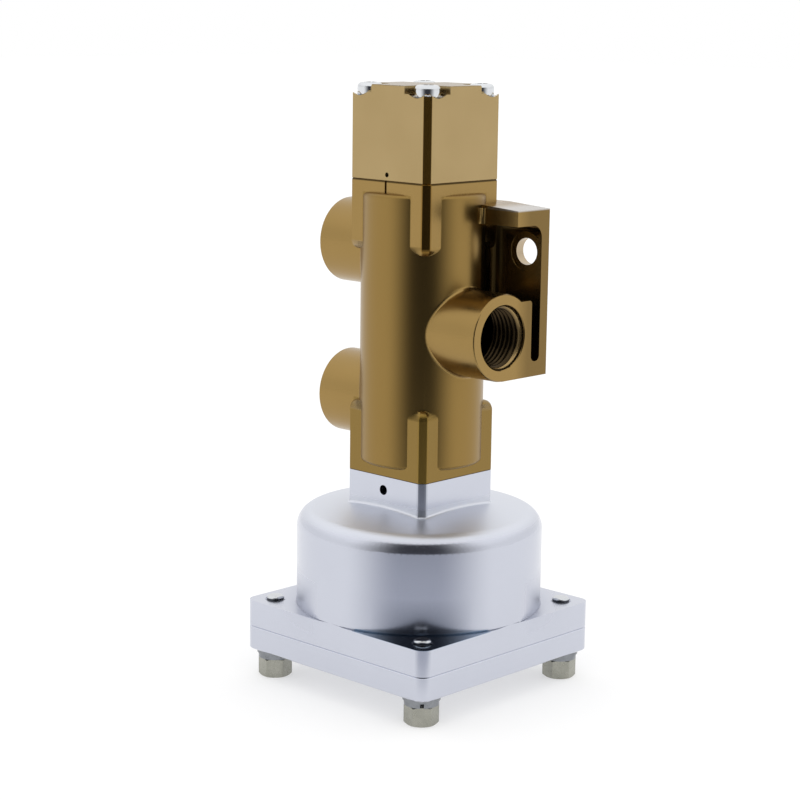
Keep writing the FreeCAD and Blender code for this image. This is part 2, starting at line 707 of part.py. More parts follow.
def make_bracket():
    """Channel-shaped mounting bracket beside the front port: side wall, roof, floor and a post at the boss."""
    body = new_body("bracket")
    low = bracket_low
    high = f"({front_port} + {s('bracket_rise')} + {s('bracket_fall')})"
    under_roof = f"({high} - {s('roof_thickness')} - {s('bracket_fall')})"
    inside = f"({bracket_side} - {s('bracket_wall')})"
    slot_low = f"({low} + {s('slot_floor')})"
    post_top = f"({front_port} + {s('post_rise')})"
    plan = new_sketch(body, "YZ_Plane", "bracket_section", f"-{s('bracket_tail')}")
    add_polygon(plan, [
        ("0", low), (bracket_side, low), (bracket_side, high), (s("roof_side"), high),
        (s("roof_side"), under_roof), (inside, under_roof), (inside, slot_low), (s("post_side"), slot_low),
        (s("post_side"), post_top), ("0", post_top)])
    section = pad(body, "bracket_pad", plan, f"{s('port_reach_front')} + {s('bracket_tail')}")
    wall, roof, slot = value(inside), value(under_roof), value(slot_low)
    post = value(s("post_side"))
    post_height = value(post_top)

    def along_x(at_y, at_z):
        def test(edge):
            box = edge.BoundBox
            return box.YLength < 1e-4 and box.ZLength < 1e-4 and abs(box.YMin - at_y) < 0.01 and abs(box.ZMin - at_z) < 0.01
        return test
    corner = round_edges(body, "roof_corner", section, s("bracket_fillet"), along_x(wall, roof))
    half_slot = f"({inside} - {s('post_side')}) * 0.45"
    corner = round_edges(body, "slot_corner_wall", corner, half_slot, along_x(wall, slot))
    corner = round_edges(body, "slot_corner_post", corner, half_slot, along_x(post, slot))
    round_edges(body, "post_corner", corner, s("joint_break") + " * 4", along_x(post, post_height))

    fall = new_sketch(body, "XZ_Plane", "roof_fall_plan", "0")
    reach = s("port_reach_front")
    add_polygon(fall, [(f"{reach} / 2", high), (reach, f"{high} - {s('bracket_fall')}"),
                       (f"{reach} + 1", f"{high} - {s('bracket_fall')}"), (f"{reach} + 1", f"{high} + 1"),
                       (f"{reach} / 2", f"{high} + 1")])
    pocket(body, "roof_fall", fall, f"{bracket_side} + 1")
    tail = new_sketch(body, "XY_Plane", "tail_plan", f"{high} + 1")
    side = bracket_side
    add_polygon(tail, [(f"-{s('bracket_tail')} - 1", f"{side} - {s('bracket_wall')} * 0.8"), (f"{s('bracket_tail')} / 4", side),
                       (f"{s('bracket_tail')} / 4", f"{side} + 1"), (f"-{s('bracket_tail')} - 1", f"{side} + 1")])
    pocket(body, "tail_slope", tail, f"{high} - {low} + 2")

    doc.recompute()
    return body


def make_corner_fill(name, plane, sign, radius, low, high):
    """Solid of a concave fillet between the round column and a flat wall that is parallel to X."""
    column = column_radius
    centre_y = f"({plane} - {sign} * {radius})"
    centre_x = f"sqrt(({column} + {radius})^2 - {centre_y}^2)"
    touch = f"({column} / ({column} + {radius}))"
    body = new_body(name)
    plan = new_sketch(body, "XY_Plane", name + "_plan", low)
    add_polygon(plan, [
        (f"{centre_x} * {touch}", f"{centre_y} * {touch}"), (centre_x, plane),
        (centre_x, f"{plane} + {sign} * 1"), (f"{centre_x} * {touch} - 4", f"{plane} + {sign} * 1"),
        (f"{centre_x} * {touch} - 4", f"{centre_y} * {touch}")])
    pad(body, name + "_pad", plan, f"{high} - {low}")
    scoop = primitive("Part::Cylinder", name + "_scoop", (centre_x, centre_y, f"{low} - 1"),
                      Radius=radius, Height=f"{high} - {low} + 2")
    return combine("Part::Cut", name + "_fillet", body, scoop)


def make_valve_body():
    """The one-piece valve body: column, bosses, square ends, bracket, ports and the packed bore."""
    column = make_column()
    lower_end = f"({neck_top} + {s('bottom_land')})"
    upper_end = f"({body_top} - {s('top_land')})"
    lower = make_land_block("lower_lands", neck_top, s("bottom_land"), True, value(lower_end))
    upper = make_land_block("upper_lands", body_top, s("top_land"), False, value(upper_end))
    bracket = make_bracket()
    roof_top = f"({front_port} + {s('bracket_rise')})"
    under_roof = f"({roof_top} - {s('roof_thickness')})"
    wall_inside = f"({bracket_side} - {s('bracket_wall')})"
    wall_fill = make_corner_fill("wall_fill", wall_inside, "1", s("bracket_fillet"), bracket_low, roof_top)
    roof_fill = make_corner_fill("roof_fill", s("roof_side"), "1", s("roof_fillet"), under_roof, roof_top)
    bracket = combine("Part::MultiFuse", "filleted_bracket", [bracket, wall_fill, roof_fill])
    ends = combine("Part::Fuse", "column_with_low_end", column, lower)
    ends = combine("Part::Fuse", "column_with_ends", ends, upper)
    solid = combine("Part::Fuse", "body_casting", ends, bracket)

    tools = [primitive("Part::Cylinder", "spool_bore", ("0", "0", neck_top), Radius=s("body_bore"),
                       Height=s("body_height"))]
    for name, height, reach, sign in (("front", front_port, s("port_reach_front"), 1),
                                      ("upper", upper_port, s("port_reach_rear"), -1),
                                      ("lower", lower_port, s("port_reach_rear"), -1)):
        thread_start = f"{reach} - {s('thread_length')}" if sign == 1 else f"-{reach}"
        passage_start = "0" if sign == 1 else f"-{reach}"
        tools.append(primitive("Part::Cylinder", f"{name}_thread", (thread_start, "0", height), ALONG_X,
                               Radius=s("thread_radius"), Height=s("thread_length")))
        tools.append(primitive("Part::Cylinder", f"{name}_passage", (passage_start, "0", height), ALONG_X,
                               Radius=f"({s('thread_radius')} - {s('passage_step')})", Height=reach))
        flare = f"{s('thread_radius')} + {s('mouth_sink')}"
        mouth_start = f"{reach} - {s('mouth_sink')}" if sign == 1 else f"-{reach}"
        wide, narrow = (("Radius2", "Radius1") if sign == 1 else ("Radius1", "Radius2"))
        tools.append(primitive("Part::Cone", f"{name}_mouth", (mouth_start, "0", height), ALONG_X,
                               Height=s("mouth_sink"), **{wide: flare, narrow: s("thread_radius")}))
    offset = screw_at
    for number, (along_x, along_y) in enumerate(((1, -1), (1, 1), (-1, 1), (-1, -1)), start=1):
        at = (f"{offset} * {along_x}", f"{offset} * {along_y}")
        cap_depth = f"({s('cap_screw_grip')} + 2)"
        low_depth = f"({s('housing_screw_grip')} + 2)"
        tools.append(primitive("Part::Cylinder", f"cap_tap_{number}", (*at, f"{body_top} - {cap_depth}"),
                               Radius=f"{s('screw_radius')} + {s('slip')}", Height=cap_depth))
        tools.append(primitive("Part::Cylinder", f"housing_tap_{number}", (*at, neck_top),
                               Radius=f"{s('screw_radius')} + {s('slip')}", Height=low_depth))
    bolt_x = f"({s('port_reach_front')} - {s('bolt_hole_inset')})"
    bolt_z = f"({roof_top} - {s('bolt_hole_drop')})"
    tools.append(primitive("Part::Cylinder", "bolt_hole", (bolt_x, s("post_side"), bolt_z), ALONG_Y,
                           Radius=s("bolt_hole_radius"), Height=bracket_side))
    tools.append(primitive("Part::Cylinder", "bolt_face", (bolt_x, s("roof_side"), bolt_z), ALONG_Y,
                           Radius=s("bolt_face_radius"),
                           Height=f"{wall_inside} + {s('bolt_face_depth')} - {s('roof_side')}"))
    for name, height in (("low", neck_top), ("high", f"{body_top} - {s('ring_section')} * 2 + {s('ring_squeeze')}")):
        groove_height = f"{s('ring_section')} * 2 - {s('ring_squeeze')}"
        outer = primitive("Part::Cylinder", f"{name}_ring_outside", ("0", "0", height),
                          Radius=f"{ring_middle} + {s('ring_section')} + {s('slip')}", Height=groove_height)
        inner = primitive("Part::Cylinder", f"{name}_ring_inside", ("0", "0", height),
                          Radius=f"{ring_middle} - {s('ring_section')} - {s('slip')}", Height=groove_height)
        tools.append(combine("Part::Cut", f"{name}_ring_groove", outer, inner))
    tools.append(primitive("Part::Box", "mark_groove",
                           (f"-{s('mark_width')} / 2 - 0.5", f"-{half_square}", f"{body_top} - {s('top_border')} - {s('joint_break')}"),
                           Length=s("mark_width"), Width=s("mark_depth"), Height=f"{s('top_border')} + {s('joint_break')}"))
    tooling = combine("Part::MultiFuse", "body_tools", tools)
    keep("valve_body", combine("Part::Cut", "valve_body_cut", solid, tooling))


def make_packed_bore():
    """Bushes, seals and ported cages stacked in the body's bore, with the spool through them."""
    outer = f"({s('body_bore')} - {s('slip')})"
    cage_bore = f"({s('spool_radius')} + {s('cage_gap')})"
    inner = f"({s('spool_radius')} + {s('running')})"
    half_seal = f"({s('seal_height')} / 2)"
    joints = {
        "seal_1": f"({lower_port} - {s('port_pitch')} / 2)", "seal_2": f"({lower_port} + {s('port_pitch')} / 2)",
        "seal_3": f"({upper_port} - {s('port_pitch')} / 2)", "seal_4": f"({upper_port} + {s('port_pitch')} / 2)"}
    for name, middle in joints.items():
        label = "spool_" + name
        body = new_body(label)
        low, high = f"({middle} - {half_seal})", f"({middle} + {half_seal})"
        dent = s("seal_groove")
        turn(body, "Revolution", label + "_turned", [
            (inner, low), (outer, low), (outer, f"{middle} - {dent}"), (f"({outer} - {dent})", middle),
            (outer, f"{middle} + {dent}"), (outer, high), (inner, high), (inner, f"{middle} + {dent}"),
            (f"({inner} + {dent})", middle), (inner, f"{middle} - {dent}")])
        keep(label, body)
    ring_piece("lower_bush", inner, outer, neck_top, f"({joints['seal_1']} - {half_seal})")
    ring_piece("upper_bush", inner, outer, f"({joints['seal_4']} + {half_seal})", body_top)
    for label, below, above, port in (("lower_cage", "seal_1", "seal_2", lower_port),
                                      ("middle_cage", "seal_2", "seal_3", front_port),
                                      ("upper_cage", "seal_3", "seal_4", upper_port)):
        body = new_body(label)
        low, high = f"({joints[below]} + {half_seal})", f"({joints[above]} - {half_seal})"
        waist = f"({outer} - {s('cage_groove')})"
        turn(body, "Revolution", label + "_turned", [
            (cage_bore, low), (outer, low), (outer, f"{low} + {s('cage_rim')}"), (waist, f"{low} + {s('cage_rim')}"),
            (waist, f"{high} - {s('cage_rim')}"), (outer, f"{high} - {s('cage_rim')}"), (outer, high), (cage_bore, high)])
        window = new_sketch(body, "YZ_Plane", label + "_window")
        add_circle(window, s("cage_hole"), "0", port)
        drill = pocket(body, label + "_drill", window, outer, Reversed=True)
        polar(body, label + "_drills", [drill], count=6)
        keep(label, body)

    spool = new_body("spool")
    waist_low = f"({neck_top} + {s('waist_low')})"
    waist_high = f"({waist_low} + {s('waist_length')})"
    radius, thin, slope = s("spool_radius"), f"({s('spool_radius')} - {s('waist_depth')})", s("waist_slope")
    turn(spool, "Revolution", "spool_turned", [
        ("0", spool_bottom), (f"({radius} - {s('edge_break')})", spool_bottom), (radius, f"{spool_bottom} + {s('edge_break')}"),
        (radius, waist_low), (thin, f"{waist_low} + {slope}"), (thin, f"{waist_high} - {slope}"), (radius, waist_high),
        (radius, f"{spool_top} - {s('edge_break')}"), (f"({radius} - {s('edge_break')})", spool_top), ("0", spool_top)])
    keep("spool", spool)

    for label, height in (("housing_o_ring", f"({neck_top} + {s('ring_section')} - {s('ring_squeeze')} / 2)"),
                          ("cap_o_ring", f"({body_top} - {s('ring_section')} + {s('ring_squeeze')} / 2)")):
        half_flat = f"({s('ring_section')} - {s('ring_squeeze')} / 2)"
        cord = primitive("Part::Torus", label + "_cord", ("0", "0", height), Radius1=ring_middle,
                         Radius2=s("ring_section"))
        squeeze = primitive("Part::Cylinder", label + "_space", ("0", "0", f"{height} - {half_flat}"),
                            Radius=f"{ring_middle} * 2", Height=f"{half_flat} * 2")
        keep(label, combine("Part::Common", label + "_squeezed", cord, squeeze))


def make_socket_screws(label, head_low, head_up, tip):
    """Four socket-head screws near the square's corners. The head sits above or below its shank."""
    sign = 1 if head_up else -1
    head_end = f"({head_low} + {sign} * {s('head_height')})"
    radius = s("screw_radius")
    screws = []
    for number, (along_x, along_y) in enumerate(((1, -1), (1, 1), (-1, 1), (-1, -1)), start=1):
        body = new_body(f"{label}_{number}")
        at_x, at_y = f"{screw_at} * {along_x}", f"{screw_at} * {along_y}"
        turned = turn(body, "Revolution", f"{label}_turned_{number}", [
            ("0", tip), (f"({radius} - {s('edge_break')})", tip), (radius, f"{tip} + {sign} * {s('edge_break')}"),
            (radius, head_low), (s("head_radius"), head_low), (s("head_radius"), head_end), ("0", head_end)],
            across=at_x, offset=f"-({at_y})")
        head_radius, end_height = value(s("head_radius")), value(head_end)

        def is_head_edge(edge):
            curve = edge.Curve
            return curve.TypeId == "Part::GeomCircle" and abs(curve.Radius - head_radius) < 0.01 \
                and abs(curve.Center.z - end_height) < 0.01
        round_edges(body, f"{label}_dome_{number}", turned, s("head_round"), is_head_edge)
        plan = new_sketch(body, "XY_Plane", f"{label}_hex_plan_{number}", head_end)
        add_polygon(plan, hexagon_corners(s("hex_across"), at_x, at_y))
        pocket(body, f"{label}_hex_{number}", plan, s("hex_depth"), Reversed=not head_up)
        screws.append(body)
    group = doc.addObject("Part::Compound", label)
    group.Links = screws
    keep(label, group)


def make_end_cap():
    """Square cap over the spring, with an open pocket for a screw head at each corner."""
    body = new_body("end_cap")
    plan = new_sketch(body, "XY_Plane", "cap_plan", body_top)
    add_polygon(plan, chamfered_square())
    block = pad(body, "cap_block", plan, s("cap_height"))
    block = round_edges(body, "cap_top_edge", block, s("joint_break"), is_level(value(cap_top)), "Chamfer")
    round_edges(body, "cap_joint_edge", block, s("joint_break"), is_level(value(body_top)), "Chamfer")
    corner = new_sketch(body, "XY_Plane", "pocket_plan", cap_top)
    inner = f"({half_square} - {s('pocket_side')})"
    outer = f"({half_square} + 1)"
    add_polygon(corner, [(inner, f"-{outer}"), (outer, f"-{outer}"), (outer, f"-{inner}"), (inner, f"-{inner}")])
    cut = pocket(body, "corner_pocket", corner, s("pocket_depth"))
    polar(body, "corner_pockets", [cut])
    near = value(inner)

    def is_pocket_corner(edge):
        box = edge.BoundBox
        return is_upright(1)(edge) and abs(abs(box.XMin) - near) < 0.01 and abs(abs(box.YMin) - near) < 0.01
    round_edges(body, "pocket_corners", body.Tip, s("pocket_corner"), is_pocket_corner)
    offset = screw_at
    hole, seat = f"({s('screw_radius')} + {s('screw_play')})", f"({s('head_radius')} + {s('head_play')})"
    flare_low = f"({pocket_floor} - {s('seat_flare')} + {seat})"
    well = turn(body, "Groove", "screw_well", [
        ("0", body_top), (hole, body_top), (hole, cap_head_low), (seat, cap_head_low), (seat, flare_low),
        (s("seat_flare"), pocket_floor), ("0", pocket_floor)], across=offset, offset=offset)
    polar(body, "screw_wells", [well])
    turn(body, "Groove", "spring_chamber", [
        ("0", body_top), (s("spring_bore"), body_top), (s("spring_bore"), spring_ceiling), ("0", spring_ceiling)])
    vent = new_sketch(body, "XZ_Plane", "cap_vent", half_square)
    add_circle(vent, s("cap_vent_radius"), "0", f"{body_top} + {s('cap_vent_rise')}")
    pocket(body, "cap_vent_drill", vent, f"{half_square} - {s('spring_bore')} + 1")
    keep("end_cap", body)


def make_spring():
    """Round-wire return spring between the follower on the spool and the cap's roof, ends ground flat."""
    follower_radius = f"({s('spring_bore')} - {s('follower_gap')})"
    follower_pin = f"({spring_radius} - {s('spring_wire')} - {s('follower_pin_gap')})"
    follower = new_body("spring_follower")
    turn(follower, "Revolution", "follower_turned", [
        ("0", spool_top), (follower_radius, spool_top), (follower_radius, follower_top),
        (follower_pin, follower_top), (follower_pin, f"{follower_top} + {s('follower_height')}"),
        ("0", f"{follower_top} + {s('follower_height')}")])
    keep("spring_follower", follower)

    length = f"({spring_ceiling} - {follower_top})"
    path = primitive("Part::Helix", "spring_path", ("0", "0", follower_top), Radius=spring_radius,
                     Height=length, Pitch=f"{length} / {s('spring_turns')}")
    section = primitive("Part::Circle", "spring_section", (spring_radius, "0", follower_top), ALONG_Y,
                        Radius=s("spring_wire"))
    coil = doc.addObject("Part::Sweep", "spring_coil")
    coil.Sections = [section]
    coil.Spine = (path, [])
    coil.Solid = True
    coil.Frenet = True
    ground = primitive("Part::Cylinder", "spring_space", ("0", "0", follower_top),
                       Radius=f"{spring_radius} * 2", Height=length)
    spring = combine("Part::Common", "return_spring_ground", coil, ground)
    keep("return_spring", spring)


make_bottom_cover()
make_housing()
make_stud_hardware()
make_diaphragm()
make_plates()
make_valve_body()
make_packed_bore()
make_end_cap()
make_socket_screws("cap_screws", cap_head_low, True, f"({body_top} - {s('cap_screw_grip')})")
housing_head_low = f"({ceiling} + {s('head_height')} + {s('edge_break')})"
make_socket_screws("housing_screws", housing_head_low, False, f"({neck_top} + {s('housing_screw_grip')})")
make_spring()
doc.recompute()

# every object has to be sound before anything is written
for item in doc.Objects:
    if "Invalid" in item.State or "Error" in item.State:
        raise RuntimeError(f"{item.Label} did not build: {item.State}")
os.makedirs("parts", exist_ok=True)
for label, item in nodes.items():
    shape = item.Shape
    if shape.isNull() or not shape.isValid() or not shape.Solids:
        raise RuntimeError(f"{label} is not a valid solid")
    shape.exportStep(f"parts/{label}.step")
    print(f"{label}: {len(shape.Solids)} solid(s), {shape.Volume:.0f} mm3")
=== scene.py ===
import json
import math

import bmesh
import bpy
import numpy as np
from mathutils import Matrix, Vector

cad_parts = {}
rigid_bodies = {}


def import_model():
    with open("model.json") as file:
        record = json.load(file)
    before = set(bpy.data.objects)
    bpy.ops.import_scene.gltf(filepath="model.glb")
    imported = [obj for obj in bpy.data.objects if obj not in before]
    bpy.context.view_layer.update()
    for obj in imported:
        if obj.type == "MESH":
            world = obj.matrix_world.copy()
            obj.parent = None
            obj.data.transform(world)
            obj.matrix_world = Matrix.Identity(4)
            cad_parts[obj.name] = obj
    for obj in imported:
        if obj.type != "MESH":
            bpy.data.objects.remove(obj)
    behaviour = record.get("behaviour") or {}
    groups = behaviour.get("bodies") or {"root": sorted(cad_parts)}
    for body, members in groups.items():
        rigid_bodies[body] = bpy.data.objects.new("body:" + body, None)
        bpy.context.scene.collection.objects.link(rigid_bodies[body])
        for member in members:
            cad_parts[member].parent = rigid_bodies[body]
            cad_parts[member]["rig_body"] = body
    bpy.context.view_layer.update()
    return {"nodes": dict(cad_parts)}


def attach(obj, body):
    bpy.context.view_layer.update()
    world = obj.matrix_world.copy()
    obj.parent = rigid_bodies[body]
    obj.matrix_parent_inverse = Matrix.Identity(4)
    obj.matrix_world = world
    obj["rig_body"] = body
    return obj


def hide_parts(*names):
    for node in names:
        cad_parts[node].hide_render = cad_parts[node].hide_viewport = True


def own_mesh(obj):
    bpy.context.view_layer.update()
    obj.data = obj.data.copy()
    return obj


# a valve in a white studio: its CAD nodes with their finishes, and the threads that its solids leave out
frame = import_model()
nodes = frame["nodes"]
scene = bpy.context.scene


# linear colour of an sRGB hex code
def srgb(code, alpha=1.0):
    parts = [int(code[i:i + 2], 16) / 255 for i in (0, 2, 4)]
    return tuple(c / 12.92 if c <= 0.04045 else ((c + 0.055) / 1.055) ** 2.4 for c in parts) + (alpha,)


def grey(level):
    return (level, level, level, 1.0)


# adds a shader node; an input is given by its name, or by i and its number, as another node's output or a value
def addNode(tree, kind, settings=None, **inputs):
    node = tree.nodes.new(kind)
    for key, value in (settings or {}).items():
        setattr(node, key, value)
    for key, value in inputs.items():
        byNumber = key[0] == "i" and key[1:].isdigit()
        socket = node.inputs[int(key[1:]) if byNumber else key.replace("_", " ")]
        if isinstance(value, bpy.types.NodeSocket):
            tree.links.new(value, socket)
        else:
            socket.default_value = value
    return node


def newMaterial(name):
    material = bpy.data.materials.new(name)
    material.use_nodes = True
    material.node_tree.nodes.clear()
    return material, material.node_tree


def finishMaterial(tree, shader):
    addNode(tree, "ShaderNodeOutputMaterial", Surface=shader.outputs[0])


# camera, solved from the photograph's edges: its place in metres, its directions, its focal length in pixels of
# a picture that is 800 wide, and its sensor in millimetres
cameraSettings = {
    "place": (0.474817, -0.504583, 0.230832),
    "right": (0.72624, 0.68729, 0.01445),
    "up": (-0.14274, 0.13020, 0.98116),
    "forward": (-0.67246, 0.71462, -0.19266),
    "focalPixels": 2073.51,
    "pictureWidth": 800,
    "sensorWidth": 36,
    "shift": (-0.02648, 0.00984),
    "clip": (0.01, 20),
}


def makeCamera(s):
    data = bpy.data.cameras.new("camera")
    data.sensor_width = s["sensorWidth"]
    data.lens = s["sensorWidth"] * s["focalPixels"] / s["pictureWidth"]
    data.shift_x, data.shift_y = s["shift"]
    data.clip_start, data.clip_end = s["clip"]
    obj = bpy.data.objects.new("camera", data)
    right, up, forward = (Vector(s[key]).normalized() for key in ("right", "up", "forward"))
    turn = Matrix([right, up, -forward]).transposed()
    obj.matrix_world = Matrix.Translation(s["place"]) @ turn.to_4x4()
    scene.collection.objects.link(obj)
    scene.camera = obj


# white studio all round, a little brighter overhead: the light's level at the sides and at the top, and the
# heights of a ray's direction between which it rises
worldSettings = {"sideLevel": 0.85, "topLevel": 1.15, "riseFrom": -0.1, "riseTo": 0.7}


# the camera, reflections and glass see the studio white, as they see the floor
def makeWorld(s):
    world = bpy.data.worlds.new("studio")
    scene.world = world
    world.use_nodes = True
    tree = world.node_tree
    tree.nodes.clear()
    coords = addNode(tree, "ShaderNodeTexCoord")
    parts = addNode(tree, "ShaderNodeSeparateXYZ", Vector=coords.outputs["Generated"])
    level = addNode(tree, "ShaderNodeMapRange", {"interpolation_type": "SMOOTHSTEP"}, Value=parts.outputs["Z"],
                    From_Min=s["riseFrom"], From_Max=s["riseTo"], To_Min=s["sideLevel"], To_Max=s["topLevel"])
    path = addNode(tree, "ShaderNodeLightPath")
    seen = level
    for ray in ("Is Camera Ray", "Is Glossy Ray", "Is Transmission Ray"):
        seen = addNode(tree, "ShaderNodeMath", {"operation": "MAXIMUM"}, i0=path.outputs[ray],
                       i1=seen.outputs[0])
    back = addNode(tree, "ShaderNodeBackground", Color=grey(1.0), Strength=seen.outputs[0])
    addNode(tree, "ShaderNodeOutputWorld", Surface=back.outputs[0])


# dark card bent round the front of the object: a grey foot that lies on the floor, then an upright wall. It
# fades out with the angle from its middle, and at the foot's inner edge. Lengths in metres, angles in degrees
screenSettings = {
    "middle": -46.7,
    "halfAngle": 72,
    "fadeFrom": 14,
    "fadeTo": 66,
    "steps": 48,
    "footRadius": 0.085,
    "footHeight": 0.0004,
    "footFade": 0.05,
    "wallRadius": 0.2,
    "wallHeight": 0.3,
    "footTone": (0.51, 0.53, 0.59, 1.0),
    "wallTone": (0.042, 0.043, 0.051, 1.0),
    "wallToneFrom": 0.055,
}


# a strip through three arcs: height and radius are fixed along each, and the turn runs evenly over the angle;
# only reflections see it
def makeDarkScreen(s):
    middle, half, wide = math.radians(s["middle"]), math.radians(s["halfAngle"]), s["steps"] + 1
    turn = np.linspace(middle - half, middle + half, wide)
    arcs = ((s["footRadius"], s["footHeight"]), (s["wallRadius"], s["footHeight"]),
            (s["wallRadius"], s["wallHeight"]))
    rows = [np.stack([radius * np.cos(turn), radius * np.sin(turn), np.full(wide, height)], 1)
            for radius, height in arcs]
    faces = [(r * wide + i, r * wide + i + 1, (r + 1) * wide + i + 1, (r + 1) * wide + i)
             for r in range(len(arcs) - 1) for i in range(s["steps"])]
    mesh = bpy.data.meshes.new("dark_screen")
    mesh.from_pydata(np.vstack(rows).tolist(), [], faces)
    screen = bpy.data.objects.new("dark_screen", mesh)
    scene.collection.objects.link(screen)
    material, tree = newMaterial("dark_screen")
    coords = addNode(tree, "ShaderNodeTexCoord")
    parts = addNode(tree, "ShaderNodeSeparateXYZ", Vector=coords.outputs["Object"])
    flat = addNode(tree, "ShaderNodeCombineXYZ", X=parts.outputs["X"], Y=parts.outputs["Y"])
    unit = addNode(tree, "ShaderNodeVectorMath", {"operation": "NORMALIZE"}, i0=flat.outputs[0])
    toward = addNode(tree, "ShaderNodeVectorMath", {"operation": "DOT_PRODUCT"}, i0=unit.outputs[0],
                     i1=(math.cos(middle), math.sin(middle), 0.0))
    angle = addNode(tree, "ShaderNodeMath", {"operation": "ARCCOSINE"}, i0=toward.outputs["Value"])
    across = addNode(tree, "ShaderNodeMapRange", {"interpolation_type": "SMOOTHSTEP"}, Value=angle.outputs[0],
                     From_Min=math.radians(s["fadeFrom"]), From_Max=math.radians(s["fadeTo"]), To_Min=1.0,
                     To_Max=0.0)
    out = addNode(tree, "ShaderNodeVectorMath", {"operation": "LENGTH"}, i0=flat.outputs[0])
    inner = addNode(tree, "ShaderNodeMapRange", {"interpolation_type": "SMOOTHSTEP"},
                    Value=out.outputs["Value"], From_Min=s["footRadius"],
                    From_Max=s["footRadius"] + s["footFade"])
    cover = addNode(tree, "ShaderNodeMath", {"operation": "MULTIPLY"}, i0=across.outputs[0],
                    i1=inner.outputs[0])
    climb = addNode(tree, "ShaderNodeMapRange", {"interpolation_type": "SMOOTHSTEP"}, Value=parts.outputs["Z"],
                    From_Min=0.0, From_Max=s["wallToneFrom"])
    tone = addNode(tree, "ShaderNodeMix", {"data_type": "RGBA"}, i0=climb.outputs[0], i6=s["footTone"],
                   i7=s["wallTone"])
    dark = addNode(tree, "ShaderNodeEmission", Color=tone.outputs[2], Strength=1.0)
    clear = addNode(tree, "ShaderNodeBsdfTransparent")
    both = addNode(tree, "ShaderNodeMixShader", i0=cover.outputs[0], i1=clear.outputs[0], i2=dark.outputs[0])
    finishMaterial(tree, both)
    mesh.materials.append(material)
    screen.visible_camera = False
    screen.visible_diffuse = False
    screen.visible_shadow = False
    screen.visible_transmission = False


# white floor: half its width in metres, the share of the light that it throws back, and its own glow
floorSettings = {"reach": 6.0, "paint": 0.52, "glow": 0.5}


def makeFloor(s):
    mesh = bpy.data.meshes.new("floor")
    w = s["reach"]
    mesh.from_pydata([(-w, -w, 0), (w, -w, 0), (w, w, 0), (-w, w, 0)], [], [(0, 1, 2, 3)])
    floor = bpy.data.objects.new("floor", mesh)
    scene.collection.objects.link(floor)
    material, tree = newMaterial("floor_white")
    plain = addNode(tree, "ShaderNodeBsdfDiffuse", Color=grey(s["paint"]))
    glow = addNode(tree, "ShaderNodeEmission", Color=grey(1.0), Strength=s["glow"])
    finishMaterial(tree, addNode(tree, "ShaderNodeAddShader", i0=plain.outputs[0], i1=glow.outputs[0]))
    mesh.materials.append(material)


# places where a finish differs, or where light or shade is painted, in metres. A mark fills the box from low to
# high, or with a radius the part of it that lies in a cylinder, whose across has a 0 along its axis. Fold makes
# it the same in all four corners.
# Soft is the width of its fading edge, or else the usual one, and a mark with a roughness changes the shine too
usualSoft = 0.0002
# painted shade in the bores of the ports, near black
paintedBoreShade = {"across": (0, 1, 1), "radius": 0.01056, "colour": "0A0806", "strength": 0.96}
bronzeMarks = [
    # the joint under the end cap
    {"low": (-1, -1, 0.1722), "high": (1, 1, 0.1735), "soft": 0.0002, "colour": "2E210C", "strength": 0.8},
    # the lower square end with its corner lands
    {"fold": True, "low": (-1, -1, 0.07), "high": (0.0182, 0.0182, 0.0982), "soft": 0.0001, "colour": "8A713F",
     "strength": 1.0},
    # the column, a little duller than the flat faces
    {"low": (-1, -1, 0.0775), "high": (1, 1, 0.1689), "soft": 0.0004, "across": (1, 1, 0), "axis": (0, 0, 0),
     "radius": 0.0213, "colour": "8E7340", "strength": 1.0, "roughness": 0.31},
    # the bracket's face beside its slot, and the bracket's top, pale with a painted highlight
    {"low": (0.0298, 0.0062, -1), "high": (1, 1, 1), "soft": 0.0062, "colour": "7A633A", "strength": 0.9},
    {"low": (0.0225, 0.002, 0.1637), "high": (1, 1, 0.165), "soft": 0.0004, "colour": "C4C0BC",
     "strength": 0.85},
    # painted reflections at the front corner's chamfer on the upper and lower land, darker than the plain
    # finish; the lower one is duller too
    {"low": (0.0153, -0.0186, 0.14), "high": (0.0186, -0.0153, 0.18), "soft": 0.0008, "colour": "7C5A20",
     "strength": 0.8},
    {"low": (0.0153, -0.0186, 0.06), "high": (0.0186, -0.0153, 0.0975), "soft": 0.0008, "colour": "8B7136",
     "strength": 1.0, "roughness": 0.4},
    # painted shade in the pocket under the bracket's roof, near black
    {"low": (-0.006, 0.0063, 0.1125), "high": (0.0361, 0.0186, 0.1583), "soft": 0.0012, "colour": "140E06",
     "strength": 0.9},
    # the shade on top of the front boss
    {"low": (0.0215, -0.0085, 0.133), "high": (0.0345, 0.004, 0.1385), "soft": 0.0018, "colour": "46310F",
     "strength": 0.78},
    # painted shade in the bores of the three ports, near black
    {"low": (0.004, -1, -1), "high": (0.0348, 1, 1), "axis": (0, 0, 0.1232), **paintedBoreShade},
    {"low": (-1, -1, -1), "high": (-0.004, 1, 1), "axis": (0, 0, 0.14965), **paintedBoreShade},
    {"low": (-1, -1, -1), "high": (-0.004, 1, 1), "axis": (0, 0, 0.09675), **paintedBoreShade},
    # the wall of the bracket's bolt hole, pale
    {"low": (-1, 0.0186, -1), "high": (1, 0.0222, 1), "across": (1, 0, 1), "axis": (0.0295, 0, 0.1496),
     "radius": 0.00462, "colour": "C8BBA8", "strength": 0.9},
]
